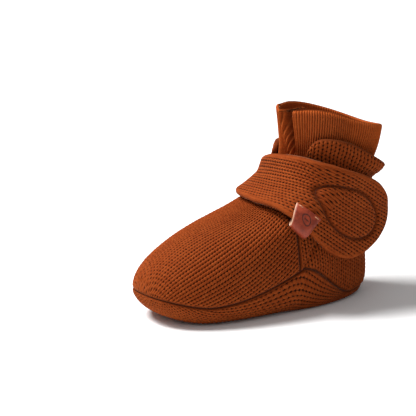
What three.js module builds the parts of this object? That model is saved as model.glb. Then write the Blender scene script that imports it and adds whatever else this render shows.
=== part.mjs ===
// Knitted stay-on baby bootie with a rib cuff and a wrap strap.
// Millimetres, +Z up. The toe points along -Y, the heel along +Y, and the strap fastens on the +X side.
// The origin is on the floor under the middle of the sole.

import * as THREE from "three";
import { mergeVertices } from "three/addons/utils/BufferGeometryUtils.js";

// ---- Driving dimensions -------------------------------------------------------------------------

const SOLE_LENGTH = 122;
const FOREFOOT_WIDTH = 60;
const ANKLE_WIDTH = 49;
const ANKLE_FRONT_SETBACK = 79; // from the tip of the toe back to the front of the ankle
const ANKLE_HEIGHT = 66; // floor to where the cuff comes out at the front
const CUFF_HEIGHT = 90.5; // floor to the cuff's front edge
const CUFF_BACK_DROP = 11.5; // how much lower the cuff's edge is at the heel
const SOLE_EDGE_RADIUS = 10;

const KNIT = 2.6; // outer knit with its backing
const LINING = 2.0; // brushed lining
const CUFF_WALL = 2.2;
const INSOLE_PAD = 3.5;
const SOLE_LINING = 1.5;
const STRAP_KNIT = 2.0;
const STRAP_FACING = 1.2;
const PATCH = 1.0; // one half of the hook and loop fastener
const TAG_LEATHER = 1.1;
const CORD_RADIUS = 0.5; // seam thread
const GAP = 0.3; // between pieces that touch
const LAYER_GAP = 0.8; // between soft layers that lie inside one another

const SEAM_HALF = 1.1; // from a seam's line to the edge of the panel
const UPRIGHT_SEAM_HALF = 1.3; // the same on the upright seams
const SEAM_TOE_HEIGHT = 8.5;
const SEAM_PEAK_HEIGHT = 20;
const SEAM_HEEL_HEIGHT = 3.6;
const SEAM_PEAK_FROM_TOE = 70.5; // from the toe back to the peak of the sole seam
const TAB_STANDOFF = 14; // how far the strap's own curve runs on past the heel
const PATCH_LONG = 13; // half lengths of the oval fastener patch
const PATCH_SHORT = 8;
const RING_LONG = 16.4; // half lengths of the oval ring of stitches
const RING_SHORT = 11.4;
const FASTENER_FROM_HEEL = 25; // from the heel forward to the middle of the fastener
const FASTENER_HEIGHT = 45;
const FASTENER_TILT = 36; // degrees that the oval dips towards the heel
const TAG_LENGTH = 7.5; // from the fold up to the tag's raw edge
const TAG_TUCK = 6; // how far the tag's inner leaf reaches up behind the strap
const STITCH_RADIUS = 0.35;

const COLLAR_TOP_OUTER = 80; // top of the collar's flap on the +X side
const COLLAR_TOP_INNER = 71.5;
const COLLAR_BACK = 62;

// ---- Small numeric helpers ----------------------------------------------------------------------

const RAD = Math.PI / 180;
const lerp = THREE.MathUtils.lerp;
const clamp = THREE.MathUtils.clamp;
const smoothstep = THREE.MathUtils.smoothstep;

// A smooth curve through the rows of a table: column `key` at position `at` along column `by`.
function through(rows, by, key, at) {
  const last = rows.length - 1;
  const x = clamp(at, rows[0][by], rows[last][by]);
  let i = 0;
  while (i < last - 1 && rows[i + 1][by] < x) i += 1;
  const slope = (a, b) => (rows[b][key] - rows[a][key]) / (rows[b][by] - rows[a][by]);
  const span = rows[i + 1][by] - rows[i][by];
  const t = (x - rows[i][by]) / span;
  const startSlope = slope(Math.max(i - 1, 0), i + 1) * span;
  const endSlope = slope(i, Math.min(i + 2, last)) * span;
  const t2 = t * t;
  const t3 = t2 * t;
  return (2 * t3 - 3 * t2 + 1) * rows[i][key] + (t3 - 2 * t2 + t) * startSlope
    + (3 * t2 - 2 * t3) * rows[i + 1][key] + (t3 - t2) * endSlope;
}

// ---- The bootie's outer surface -----------------------------------------------------------------

const TOE_Y = -SOLE_LENGTH / 2;
const HEEL_Y = SOLE_LENGTH / 2;
const ANKLE_FRONT_Y = TOE_Y + ANKLE_FRONT_SETBACK;
const HALF_WIDTH = FOREFOOT_WIDTH / 2;
const ANKLE_HALF = ANKLE_WIDTH / 2;
const NARROWING = HALF_WIDTH - ANKLE_HALF;

// Horizontal sections from the floor up. `front` is the share of the way from the toe to the front of
// the ankle, `mid` the share of the sole's length where the section is widest, `back` how far it passes
// the heel, `narrow` the share of the way from the forefoot's width to the ankle's, and `power` how
// square the front of the section is (2 is an ellipse).
const SECTIONS = [
  { rise: 0.0, front: 0.0, mid: 0.42, back: 0, narrow: 0.0, power: 2.3 },
  { rise: 0.18, front: 0.0, mid: 0.42, back: 0.5, narrow: 0.0, power: 2.3 },
  { rise: 0.33, front: 0.04, mid: 0.44, back: 0, narrow: 0.1, power: 2.2 },
  { rise: 0.45, front: 0.14, mid: 0.49, back: -0.5, narrow: 0.35, power: 2.1 },
  { rise: 0.57, front: 0.34, mid: 0.56, back: -1, narrow: 0.65, power: 1.95 },
  { rise: 0.68, front: 0.68, mid: 0.64, back: -1, narrow: 0.9, power: 1.85 },
  { rise: 0.78, front: 0.88, mid: 0.72, back: 1, narrow: 1.0, power: 1.85 },
  { rise: 0.9, front: 0.97, mid: 0.79, back: 4.5, narrow: 1.0, power: 1.95 },
  { rise: 1.05, front: 1.0, mid: 0.82, back: 9, narrow: 0.8, power: 2.0 },
  { rise: 1.2, front: 0.99, mid: 0.84, back: 10.5, narrow: 0.55, power: 2.0 },
  { rise: 1.35, front: 0.97, mid: 0.85, back: 11.5, narrow: 0.5, power: 2.0 },
];
const BACK_POWER = 2.6;

function section(z) {
  const rise = z / ANKLE_HEIGHT;
  const front = lerp(TOE_Y, ANKLE_FRONT_Y, through(SECTIONS, "rise", "front", rise));
  const mid = lerp(TOE_Y, HEEL_Y, through(SECTIONS, "rise", "mid", rise));
  const back = HEEL_Y + through(SECTIONS, "rise", "back", rise);
  const half = HALF_WIDTH - NARROWING * through(SECTIONS, "rise", "narrow", rise);
  const power = through(SECTIONS, "rise", "power", rise);
  return { front, mid, back, half, power };
}

// How far the rounded lower edge draws the section in at height z.
function edgeInset(z) {
  if (z >= SOLE_EDGE_RADIUS) return 0;
  return SOLE_EDGE_RADIUS - Math.sqrt(z * (2 * SOLE_EDGE_RADIUS - z));
}

// Point on the section at height z in direction angle (0 at the toe, 90 degrees at +X, 180 at the heel).
function outline(angle, z, standoff = 0) {
  const { front, mid, back, half, power: frontPower } = section(z);
  const inset = edgeInset(z);
  const c = Math.cos(angle);
  const s = Math.sin(angle);
  const reach = (c > 0 ? mid - front : back + standoff - mid) - inset;
  const power = c > 0 ? frontPower : BACK_POWER;
  const radius = (Math.abs(c / reach) ** power + Math.abs(s / (half - inset)) ** power) ** (-1 / power);
  return new THREE.Vector3(radius * s, mid - radius * c, z);
}

// The direction angle of the point of the section at height z that lies at a given y on the +X side.
function angleAtY(y, z, standoff = 0) {
  const { front, mid, back, half, power: frontPower } = section(z);
  const reach = y < mid ? mid - front : back + standoff - mid;
  const power = y < mid ? frontPower : BACK_POWER;
  const share = Math.min(Math.abs(y - mid) / reach, 1);
  const x = half * (1 - share ** power) ** (1 / power);
  return Math.atan2(x, mid - y);
}

const STEP = 1e-3;

// The outer surface moved out along its normal by `out` (negative is inward).
function surface(angle, z, out = 0, standoff = 0) {
  const root = Math.sqrt(Math.max(z, 0));
  const low = Math.max(root - STEP, 0);
  const point = outline(angle, z, standoff);
  const up = outline(angle, (root + STEP) ** 2, standoff).sub(outline(angle, low * low, standoff));
  const around = outline(angle + STEP, z, standoff).sub(outline(angle - STEP, z, standoff));
  const normal = around.cross(up).normalize();
  return point.addScaledVector(normal, out);
}

// ---- Seam lines ---------------------------------------------------------------------------------

const PEAK_Y = TOE_Y + SEAM_PEAK_FROM_TOE;
const SEAM_RISE_LENGTH = 0.7 * SEAM_PEAK_FROM_TOE;
const SEAM_FALL_LENGTH = 0.7 * (HEEL_Y - PEAK_Y);

// Height of the seam between the sole and the upper, in each direction.
function soleSeam(angle) {
  const y = outline(angle, SOLE_EDGE_RADIUS).y;
  if (y < PEAK_Y) {
    const share = clamp(1 - (PEAK_Y - y) / SEAM_RISE_LENGTH, 0, 1);
    return lerp(SEAM_TOE_HEIGHT, SEAM_PEAK_HEIGHT, share ** 1.8);
  }
  const share = clamp((y - PEAK_Y) / SEAM_FALL_LENGTH, 0, 1);
  return lerp(SEAM_HEEL_HEIGHT, SEAM_PEAK_HEIGHT, Math.cos((share * Math.PI) / 2) ** 2);
}

// Direction of the upright seam between the vamp and the quarter at height z: it stands over the
// peak of the sole seam and then follows the front of the ankle.
function sideSeam(z) {
  const lean = smoothstep(z, 0.6 * ANKLE_HEIGHT, 0.95 * ANKLE_HEIGHT);
  const straight = angleAtY(PEAK_Y, clamp(z, SEAM_PEAK_HEIGHT, 0.75 * ANKLE_HEIGHT));
  return lerp(straight, 46 * RAD, lean);
}

// Height of the collar's edge, in each direction on the quarter.
const COLLAR = [
  { angle: 44, share: 0.35 },
  { angle: 50, share: 0.75 },
  { angle: 60, share: 1.0 },
  { angle: 84, share: 0.92 },
  { angle: 110, share: 0.64 },
  { angle: 145, share: 0.2 },
  { angle: 180, share: 0.0 },
];

function collarEdge(angle, top) {
  return lerp(COLLAR_BACK, top, through(COLLAR, "angle", "share", angle / RAD));
}

// ---- Building closed solids from grids of points ------------------------------------------------

function signedVolume(position, index) {
  const a = new THREE.Vector3();
  const b = new THREE.Vector3();
  const c = new THREE.Vector3();
  let total = 0;
  for (let i = 0; i < index.length; i += 3) {
    a.fromBufferAttribute(position, index[i]);
    b.fromBufferAttribute(position, index[i + 1]);
    c.fromBufferAttribute(position, index[i + 2]);
    total += a.dot(b.cross(c));
  }
  return total;
}

// A closed geometry from points and triangles: welded, without empty triangles, faces outward.
function closedGeometry(points, triangles) {
  const loose = new THREE.BufferGeometry();
  loose.setAttribute("position", new THREE.Float32BufferAttribute(points.flatMap((p) => p.toArray()), 3));
  loose.setIndex(triangles);
  const welded = mergeVertices(loose, 1e-3);
  const all = welded.index.array;
  const kept = [];
  for (let i = 0; i < all.length; i += 3) {
    const [a, b, c] = [all[i], all[i + 1], all[i + 2]];
    if (a !== b && b !== c && c !== a) kept.push(a, b, c);
  }
  if (signedVolume(welded.attributes.position, kept) < 0) kept.reverse();
  welded.setIndex(kept);
  welded.computeVertexNormals();
  return welded;
}

// A sheet with thickness. place(u, v, side) gives the point at u, v in 0..1 on side 0 or 1.
function sheet(place, columns, rows, closed = false) {
  const points = [];
  const triangles = [];
  const stride = rows + 1;
  const around = closed ? columns : columns + 1;
  for (const side of [0, 1]) {
    for (let i = 0; i < around; i += 1) {
      for (let j = 0; j <= rows; j += 1) points.push(place(i / columns, j / rows, side));
    }
  }
  const at = (i, j, side) => side * around * stride + (i % around) * stride + j;
  const quad = (a, b, c, d) => triangles.push(a, b, c, a, c, d);
  for (let i = 0; i < columns; i += 1) {
    for (let j = 0; j < rows; j += 1) {
      quad(at(i, j, 0), at(i + 1, j, 0), at(i + 1, j + 1, 0), at(i, j + 1, 0));
      quad(at(i, j + 1, 1), at(i + 1, j + 1, 1), at(i + 1, j, 1), at(i, j, 1));
    }
    quad(at(i, 0, 1), at(i + 1, 0, 1), at(i + 1, 0, 0), at(i, 0, 0));
    quad(at(i, rows, 0), at(i + 1, rows, 0), at(i + 1, rows, 1), at(i, rows, 1));
  }
  if (!closed) {
    for (let j = 0; j < rows; j += 1) {
      quad(at(0, j, 0), at(0, j + 1, 0), at(0, j + 1, 1), at(0, j, 1));
      quad(at(columns, j, 1), at(columns, j + 1, 1), at(columns, j + 1, 0), at(columns, j, 0));
    }
  }
  return closedGeometry(points, triangles);
}

// A round cord along a curve of points; an open one gets flat ends.
function cord(points, radius, closed = false) {
  const curve = new THREE.CatmullRomCurve3(points, closed);
  const profile = new THREE.Shape();
  profile.absarc(0, 0, radius, 0, 2 * Math.PI);
  const steps = closed ? points.length : points.length - 1;
  const settings = { steps, curveSegments: 3, bevelEnabled: false, extrudePath: curve };
  const tube = new THREE.ExtrudeGeometry(profile, settings);
  const points3 = [];
  const position = tube.attributes.position;
  for (let i = 0; i < position.count; i += 1) {
    points3.push(new THREE.Vector3().fromBufferAttribute(position, i));
  }
  return closedGeometry(points3, points3.map((_, i) => i));
}

// ---- Materials ----------------------------------------------------------------------------------

const KNIT_COLOUR = 0x8a4418;
const material = (color, roughness) => new THREE.MeshStandardMaterial({ color, roughness, metalness: 0 });

const bootie = new THREE.Group();

function add(name, geometry, color = KNIT_COLOUR, roughness = 0.95) {
  const mesh = new THREE.Mesh(geometry, material(color, roughness));
  mesh.name = name;
  bootie.add(mesh);
}

// ---- Sole ---------------------------------------------------------------------------------------

const FULL_TURN = 2 * Math.PI;
const AROUND = 44; // facets around the foot
const SOLE_CENTRE_Y = section(0).mid;

// From the middle of the flat bottom (v = 0) out and up to the seam (v = 1).
function solePanel(u, v, side) {
  const angle = u * FULL_TURN;
  const flat = 0.4;
  const out = -KNIT * side;
  if (v < flat) {
    const rim = surface(angle, 0, out);
    const centre = new THREE.Vector3(0, SOLE_CENTRE_Y, rim.z);
    return centre.lerp(rim, v / flat);
  }
  const climb = Math.sin(((v - flat) / (1 - flat)) * Math.PI / 2 - Math.PI / 2) + 1;
  return surface(angle, climb * (soleSeam(angle) - SEAM_HALF), out);
}

// A flat layer inside the sole, between two heights, drawn in from the outer edge.
function soleLayer(low, high, insetLow, insetHigh) {
  return (u, v, side) => {
    const z = side ? high : low;
    const inset = side ? insetHigh : insetLow;
    const rim = surface(u * FULL_TURN, SOLE_EDGE_RADIUS, -inset);
    return new THREE.Vector3(0, SOLE_CENTRE_Y, z).lerp(rim.setZ(z), v);
  };
}

// How far in from the outer edge a surface that lies `depth` inside it is at height z.
function innerInset(depth, z) {
  const radius = Math.max(SOLE_EDGE_RADIUS - depth, 0.5);
  const drop = clamp(SOLE_EDGE_RADIUS - z, 0, radius);
  return SOLE_EDGE_RADIUS - Math.sqrt(radius * radius - drop * drop);
}

const PAD_LOW = KNIT + GAP;
const PAD_HIGH = PAD_LOW + INSOLE_PAD;
const FOOTBED_LOW = PAD_HIGH + GAP;
const FOOTBED_HIGH = FOOTBED_LOW + SOLE_LINING;
const LINING_DEPTH = KNIT + LAYER_GAP;
const LINING_INSIDE = LINING_DEPTH + LINING;

add("sole_panel", sheet(solePanel, AROUND, 8, true));

const PAD_INSETS = [innerInset(PAD_LOW + GAP, PAD_LOW), innerInset(PAD_LOW, PAD_HIGH) + GAP];
const FOOTBED_INSETS = [
  innerInset(LINING_INSIDE + GAP, FOOTBED_LOW) + GAP,
  innerInset(LINING_INSIDE, FOOTBED_HIGH) + 2 * GAP,
];

add("insole_pad", sheet(soleLayer(PAD_LOW, PAD_HIGH, ...PAD_INSETS), 36, 1, true), 0xe8e2d6, 0.9);
add("sole_lining", sheet(soleLayer(FOOTBED_LOW, FOOTBED_HIGH, ...FOOTBED_INSETS), 36, 1, true), 0xa8603a, 1);

// ---- Upper --------------------------------------------------------------------------------------

const VAMP_TOP = ANKLE_HEIGHT - 4;

// The half width of an upright seam as a change of direction at height z. seam(z) is the seam's own
// direction, and where it slants the half width along the section grows with the slant.
function seamShare(seam, z) {
  const point = outline(seam(z), z);
  const radius = Math.hypot(point.x, point.y - section(z).mid);
  const travel = radius * (seam(z + 0.5) - seam(z - 0.5));
  return (UPRIGHT_SEAM_HALF * Math.hypot(1, travel)) / radius;
}

const backSeam = () => Math.PI;

function vampPanel(u, v, side) {
  const spread = 2 * u - 1;
  const foot = spread * sideSeam(SEAM_PEAK_HEIGHT);
  const low = soleSeam(foot) + SEAM_HALF;
  const z = lerp(low, VAMP_TOP, v);
  return surface(spread * (sideSeam(z) - seamShare(sideSeam, z)), z, -KNIT * side);
}

// One side of the heel. hand is 1 for the +X side and -1 for the other.
function quarterPanel(hand, collarTop) {
  return (u, v, side) => {
    const foot = lerp(sideSeam(SEAM_PEAK_HEIGHT), Math.PI, u);
    const low = soleSeam(foot) + SEAM_HALF;
    const top = collarEdge(lerp(46 * RAD, Math.PI, u), collarTop);
    const z = lerp(low, top, v);
    const angle = lerp(sideSeam(z) + seamShare(sideSeam, z), Math.PI - seamShare(backSeam, z), u);
    return surface(hand * angle, z, -KNIT * side);
  };
}

const LINING_START = 0.75 * SOLE_EDGE_RADIUS;
const LINING_TOP = ANKLE_HEIGHT - 6;

function upperLining(u, v, side) {
  const depth = side ? LINING_INSIDE : LINING_DEPTH;
  return surface(u * FULL_TURN, lerp(LINING_START, LINING_TOP, v), -depth);
}

add("vamp_panel", sheet(vampPanel, 24, 10));
add("quarter_outer", sheet(quarterPanel(1, COLLAR_TOP_OUTER), 18, 11));
add("quarter_inner", sheet(quarterPanel(-1, COLLAR_TOP_INNER), 18, 11));
add("upper_lining", sheet(upperLining, AROUND, 11, true), 0xa8603a, 1);

// ---- Rib cuff -----------------------------------------------------------------------------------

const CUFF_START = LINING_TOP + 2 * LAYER_GAP;

function ribCuff(u, v, side) {
  const angle = u * FULL_TURN;
  const back = (1 - Math.cos(angle)) / 2;
  const top = CUFF_HEIGHT - CUFF_BACK_DROP * back * back;
  const z = lerp(CUFF_START, top, v);
  return surface(angle, z, -LINING_DEPTH - CUFF_WALL * side);
}

add("rib_cuff", sheet(ribCuff, AROUND, 6, true), 0x964c1e, 0.95);

// ---- Strap --------------------------------------------------------------------------------------

// Stations along the strap from its sewn root on the -X side, across the ankle, to its free end on the
// +X side: the direction and the height of its lower and upper edges.
const STATIONS = [
  { at: 0.0, lowAngle: -66, low: 0.71, highAngle: -50, high: 0.93 },
  { at: 0.16, lowAngle: -38, low: 0.735, highAngle: -27, high: 0.97 },
  { at: 0.32, lowAngle: 0, low: 0.735, highAngle: 4, high: 1.02 },
  { at: 0.48, lowAngle: 48, low: 0.7, highAngle: 38, high: 1.06 },
  { at: 0.6, lowAngle: 88, low: 0.605, highAngle: 60, high: 1.06 },
  { at: 0.72, lowAngle: 115, low: 0.51, highAngle: 85, high: 1.01 },
  { at: 0.84, lowAngle: 140, low: 0.38, highAngle: 114, high: 0.94 },
  { at: 1.0, lowAngle: 157, low: 0.29, highAngle: 158, high: 0.85 },
];
const HINGE_AT = 0.49; // where the free end starts to peel away
const ROUND_FROM = 0.78; // where the free end starts to round off
const STRAP_WALL = STRAP_KNIT + STRAP_FACING + LAYER_GAP;
const TAB_LIFT = LAYER_GAP + 2 * PATCH + 3 * GAP; // room under the free end for the fastener

// The strap's angle and height at `along` (0 root, 1 free end) and `across` (-1 low edge, 1 high edge).
function strapPlace(along, across) {
  const column = (key) => through(STATIONS, "at", key, along);
  const past = clamp((along - ROUND_FROM) / (1 - ROUND_FROM), 0, 1);
  const width = across * Math.sqrt(Math.max(1 - past * past, 0));
  const share = (width + 1) / 2;
  const angle = lerp(column("lowAngle"), column("highAngle"), share) * RAD;
  const height = lerp(column("low"), column("high"), share) * ANKLE_HEIGHT;
  return { angle, height };
}

function strapLift(along) {
  return lerp(LAYER_GAP, TAB_LIFT, smoothstep(along, 0.3, 0.6));
}

// One layer of the strap, between two stations, `from` and `to` out from the strap's inner face.
function strapLayer(start, end, from, to, margin = 0) {
  return (u, v, side) => {
    const along = lerp(start, end, Math.sin((u * Math.PI) / 2));
    const { angle, height } = strapPlace(along, (2 * v - 1) * (1 - margin));
    return surface(angle, height, strapLift(along) + (side ? to : from), TAB_STANDOFF);
  };
}

const HINGE_SHARE = 0.008;
const FACING_MARGIN = 0.04;
const KNIT_FROM = STRAP_FACING + LAYER_GAP;

const BAND_END = HINGE_AT - HINGE_SHARE;
const TAB_START = HINGE_AT + HINGE_SHARE;

const bandKnit = strapLayer(0, BAND_END, KNIT_FROM, STRAP_WALL);
const bandFacing = strapLayer(0, BAND_END, 0, STRAP_FACING, FACING_MARGIN);
const tabKnit = strapLayer(TAB_START, 1, KNIT_FROM, STRAP_WALL);
const tabFacing = strapLayer(TAB_START, 0.99, 0, STRAP_FACING, FACING_MARGIN);

add("strap_band", sheet(bandKnit, 16, 8));
add("strap_band_facing", sheet(bandFacing, 16, 8), 0xa8603a, 1);
add("strap_tab", sheet(tabKnit, 20, 8));
add("strap_tab_facing", sheet(tabFacing, 20, 8), 0xa8603a, 1);

// ---- Fastener -----------------------------------------------------------------------------------

const FASTENER_Y = HEEL_Y - FASTENER_FROM_HEEL;
const TILT = FASTENER_TILT * RAD;

// A point on an oval about the middle of the fastener, on the bootie (standoff 0) or on the strap.
function fastenerPoint(turn, long, short, out, standoff) {
  const p = long * Math.cos(turn);
  const q = short * Math.sin(turn);
  const y = FASTENER_Y + p * Math.cos(TILT) + q * Math.sin(TILT);
  const z = FASTENER_HEIGHT - p * Math.sin(TILT) + q * Math.cos(TILT);
  return surface(angleAtY(y, z, standoff), z, out, standoff);
}

function patch(from, standoff) {
  return (u, v, side) =>
    fastenerPoint(u * FULL_TURN, v * PATCH_LONG, v * PATCH_SHORT, from + side * PATCH, standoff);
}

add("loop_patch", sheet(patch(LAYER_GAP, 0), 24, 3, true), 0x5c2d14, 1);
add("hook_patch", sheet(patch(TAB_LIFT - GAP - PATCH, TAB_STANDOFF), 24, 3, true), 0x4a2410, 0.8);

// ---- Tag ----------------------------------------------------------------------------------------

const TAG_FROM = 0.54; // stations along the strap's lower edge that the tag lies between
const TAG_TO = 0.635;
const FOLD_RADIUS = STRAP_WALL / 2 + 2 * GAP;
const TAG_FOLD = Math.PI * FOLD_RADIUS;
const TAG_PATH = TAG_LENGTH + TAG_FOLD + TAG_TUCK;

// Height above the strap's lower edge and distance out from the strap's inner face, `run` along the
// tag from its raw outer edge, round the fold, to the end of its inner leaf.
function tagPath(run, thickness) {
  const radius = FOLD_RADIUS + thickness;
  const middle = STRAP_WALL / 2;
  if (run < TAG_LENGTH) return { rise: TAG_LENGTH - run, out: middle + radius };
  const turn = (run - TAG_LENGTH) / FOLD_RADIUS;
  if (turn < Math.PI) return { rise: -radius * Math.sin(turn), out: middle + radius * Math.cos(turn) };
  return { rise: run - TAG_LENGTH - TAG_FOLD, out: middle - radius };
}

// A point off the strap's surface, `rise` millimetres up from its lower edge.
function strapEdgePoint(along, rise, out) {
  const low = strapPlace(along, -1);
  const high = strapPlace(along, 1);
  const width = surface(low.angle, low.height).distanceTo(surface(high.angle, high.height));
  const { angle, height } = strapPlace(along, -1 + (2 * rise) / width);
  return surface(angle, height, strapLift(along) + out, TAB_STANDOFF);
}

function tagLeather(u, v, side) {
  const { rise, out } = tagPath(v * TAG_PATH, side * TAG_LEATHER);
  return strapEdgePoint(lerp(TAG_FROM, TAG_TO, u), rise + GAP, out);
}

add("leather_tag", sheet(tagLeather, 6, 18), 0x96412f, 0.45);

// ---- Seam threads and stitches ------------------------------------------------------------------

const CORD_DEPTH = 2 * CORD_RADIUS;
const PEAK_ANGLE = sideSeam(SEAM_PEAK_HEIGHT);

// Points of a curve at equal shares of its run.
const sample = (count, place) => Array.from({ length: count + 1 }, (_, i) => place(i / count));

function soleSeamPoint(share) {
  const angle = Math.PI + (0.004 + 0.992 * share) * FULL_TURN;
  return surface(angle % FULL_TURN, soleSeam(angle % FULL_TURN), -CORD_DEPTH);
}

function sideSeamPoint(hand) {
  return (share) => {
    const z = lerp(soleSeam(PEAK_ANGLE) + 3 * CORD_RADIUS, VAMP_TOP, share);
    return surface(hand * sideSeam(z), z, -CORD_DEPTH);
  };
}

function backSeamPoint(share) {
  const z = lerp(soleSeam(Math.PI) + 3 * CORD_RADIUS, COLLAR_BACK - CORD_RADIUS, share);
  return surface(Math.PI, z, -CORD_DEPTH);
}

const RING_OUT = TAB_LIFT + STRAP_WALL + GAP + STITCH_RADIUS;
const ringPoint = (share) =>
  fastenerPoint(0.99 * share * FULL_TURN, RING_LONG, RING_SHORT, RING_OUT, TAB_STANDOFF);

function rootStitchPoint(share) {
  const { angle, height } = strapPlace(0.03, lerp(-0.85, 0.85, share));
  return surface(angle, height, strapLift(0) + STRAP_WALL + GAP + STITCH_RADIUS, TAB_STANDOFF);
}

const THREAD_COLOUR = 0x6b3212;

add("sole_seam_thread", cord(sample(80, soleSeamPoint), CORD_RADIUS), THREAD_COLOUR);
add("side_seam_thread_outer", cord(sample(20, sideSeamPoint(1)), CORD_RADIUS), THREAD_COLOUR);
add("side_seam_thread_inner", cord(sample(20, sideSeamPoint(-1)), CORD_RADIUS), THREAD_COLOUR);
add("back_seam_thread", cord(sample(12, backSeamPoint), CORD_RADIUS), THREAD_COLOUR);
add("fastener_stitch_ring", cord(sample(40, ringPoint), STITCH_RADIUS), THREAD_COLOUR);
add("strap_root_stitch", cord(sample(6, rootStitchPoint), STITCH_RADIUS), THREAD_COLOUR);

// Two short bars of thread near the tag's raw edge.
const TAG_FACE = STRAP_WALL + 3 * GAP + TAG_LEATHER + STITCH_RADIUS;
const BAR_SHARE = 0.2; // length of a bar as a share of the tag's width
const BAR_RISE = TAG_LENGTH - 1;

function tagStitchPoint(start) {
  return (share) => {
    const along = lerp(TAG_FROM, TAG_TO, start + BAR_SHARE * share);
    return strapEdgePoint(along, BAR_RISE, TAG_FACE);
  };
}

add("tag_stitch_front", cord(sample(2, tagStitchPoint(0.1)), STITCH_RADIUS), 0xc98a63);
add("tag_stitch_back", cord(sample(2, tagStitchPoint(0.7)), STITCH_RADIUS), 0xc98a63);

export default bootie;
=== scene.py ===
"""Knitted baby bootie: body of stockinette panels, rib cuff, wrap strap with a leather tag."""

import math

import bpy
import numpy as np
from mathutils import Matrix, Vector


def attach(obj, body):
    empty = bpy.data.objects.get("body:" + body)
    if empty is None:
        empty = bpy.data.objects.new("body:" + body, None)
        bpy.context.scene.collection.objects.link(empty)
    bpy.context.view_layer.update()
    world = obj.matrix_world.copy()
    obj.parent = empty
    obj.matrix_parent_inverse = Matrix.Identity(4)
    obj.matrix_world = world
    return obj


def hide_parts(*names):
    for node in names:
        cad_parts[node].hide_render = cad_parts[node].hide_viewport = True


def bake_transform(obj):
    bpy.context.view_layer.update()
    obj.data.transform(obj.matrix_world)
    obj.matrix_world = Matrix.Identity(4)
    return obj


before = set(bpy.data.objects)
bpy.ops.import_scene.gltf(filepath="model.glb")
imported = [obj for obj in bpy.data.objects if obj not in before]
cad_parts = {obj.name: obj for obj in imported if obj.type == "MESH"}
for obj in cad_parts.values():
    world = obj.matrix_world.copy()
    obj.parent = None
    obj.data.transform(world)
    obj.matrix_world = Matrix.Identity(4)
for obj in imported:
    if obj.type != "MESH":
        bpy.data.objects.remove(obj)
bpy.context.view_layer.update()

MM = 0.001

# ---- The bootie's outer surface, in millimetres -------------------------------------------------

TOE_Y, HEEL_Y = -61.0, 61.0
ANKLE_FRONT_Y = 18.0
HALF_WIDTH, ANKLE_HALF = 30.0, 24.5
ANKLE_HEIGHT = 66.0
EDGE_RADIUS = 10.0
PEAK_Y = 9.5
BACK_POWER = 2.6
TAB_STANDOFF = 14.0
VAMP_TOP = 62.0
CUFF_START = 61.6
CUFF_DEPTH = 3.4
SEAM_FOOT = 20.0  # height at which the upright seams start
SEAM_FRONT = math.radians(46)  # their direction at the front of the ankle
SEAM_TOE, SEAM_HEEL, SEAM_PEAK = 9.6, 3.4, 21.2  # heights of the sole's seam
SOLE_MIDDLE_Y = -9.76
PANEL_WALL = 2.4

# height, front, widest place, back, narrowing and squareness of the horizontal sections
SECTIONS = np.array(
    [
        (0.0, 0.0, 0.42, 0, 0.0, 2.3),
        (0.18, 0.0, 0.42, 0.5, 0.0, 2.3),
        (0.33, 0.04, 0.44, 0, 0.1, 2.2),
        (0.45, 0.14, 0.49, -0.5, 0.35, 2.1),
        (0.57, 0.34, 0.56, -1, 0.65, 1.95),
        (0.68, 0.68, 0.64, -1, 0.9, 1.85),
        (0.78, 0.88, 0.72, 1, 1.0, 1.85),
        (0.9, 0.97, 0.79, 4.5, 1.0, 1.95),
        (1.05, 1.0, 0.82, 9, 0.8, 2.0),
        (1.2, 0.99, 0.84, 10.5, 0.55, 2.0),
        (1.35, 0.97, 0.85, 11.5, 0.5, 2.0),
    ]
)
# direction from the toe in degrees, and the share of the way up to the collar's highest edge
COLLAR = np.array(
    [(44, 0.45), (50, 0.84), (60, 1.0), (84, 0.92), (110, 0.62), (130, 0.3), (150, -0.12), (180, -0.2)]
)
# along the strap: direction and height of its lower edge, then of its upper edge
STATIONS = np.array(
    [
        (0.0, -66, 0.7, -50, 0.95),
        (0.16, -38, 0.712, -27, 1.02),
        (0.32, 0, 0.722, 4, 1.075),
        (0.48, 48, 0.695, 38, 1.1),
        (0.6, 88, 0.605, 60, 1.075),
        (0.72, 115, 0.51, 85, 1.015),
        (0.84, 140, 0.37, 114, 0.94),
        (1.0, 157, 0.25, 158, 0.83),
    ]
)


def mix(a, b, share):
    """a at share 0, b at share 1, in a straight line between."""
    return a + (b - a) * share


def ease(low, high, x):
    """0 below low, 1 above high, and 3t^2 - 2t^3 between."""
    t = np.clip((x - low) / (high - low), 0, 1)
    return t * t * (3 - 2 * t)


def bell(x, middle, width):
    """exp(-t^2), where t is the distance from the middle over the width."""
    return np.exp(-(((x - middle) / width) ** 2))


def turns_of(count):
    """Even directions round a full turn."""
    return np.linspace(0, 2 * math.pi, count, endpoint=False)


def half_turn(angle):
    """The same direction, between minus and plus half a turn."""
    return (angle + math.pi) % (2 * math.pi) - math.pi


def through(table, column, at):
    """Cubic curve through a table's column over its first column; its slope at a row is that of the
    line between the rows on either side."""
    xs, ys = table[:, 0], table[:, column]
    x = np.clip(at, xs[0], xs[-1])
    i = np.clip(np.searchsorted(xs, x) - 1, 0, len(xs) - 2)
    before, after = np.maximum(i - 1, 0), np.minimum(i + 2, len(xs) - 1)
    span = xs[i + 1] - xs[i]
    t = (x - xs[i]) / span
    start = (ys[i + 1] - ys[before]) / (xs[i + 1] - xs[before]) * span
    end = (ys[after] - ys[i]) / (xs[after] - xs[i]) * span
    return (
        (2 * t**3 - 3 * t**2 + 1) * ys[i]
        + (t**3 - 2 * t**2 + t) * start
        + (3 * t**2 - 2 * t**3) * ys[i + 1]
        + (t**3 - t**2) * end
    )


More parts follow.
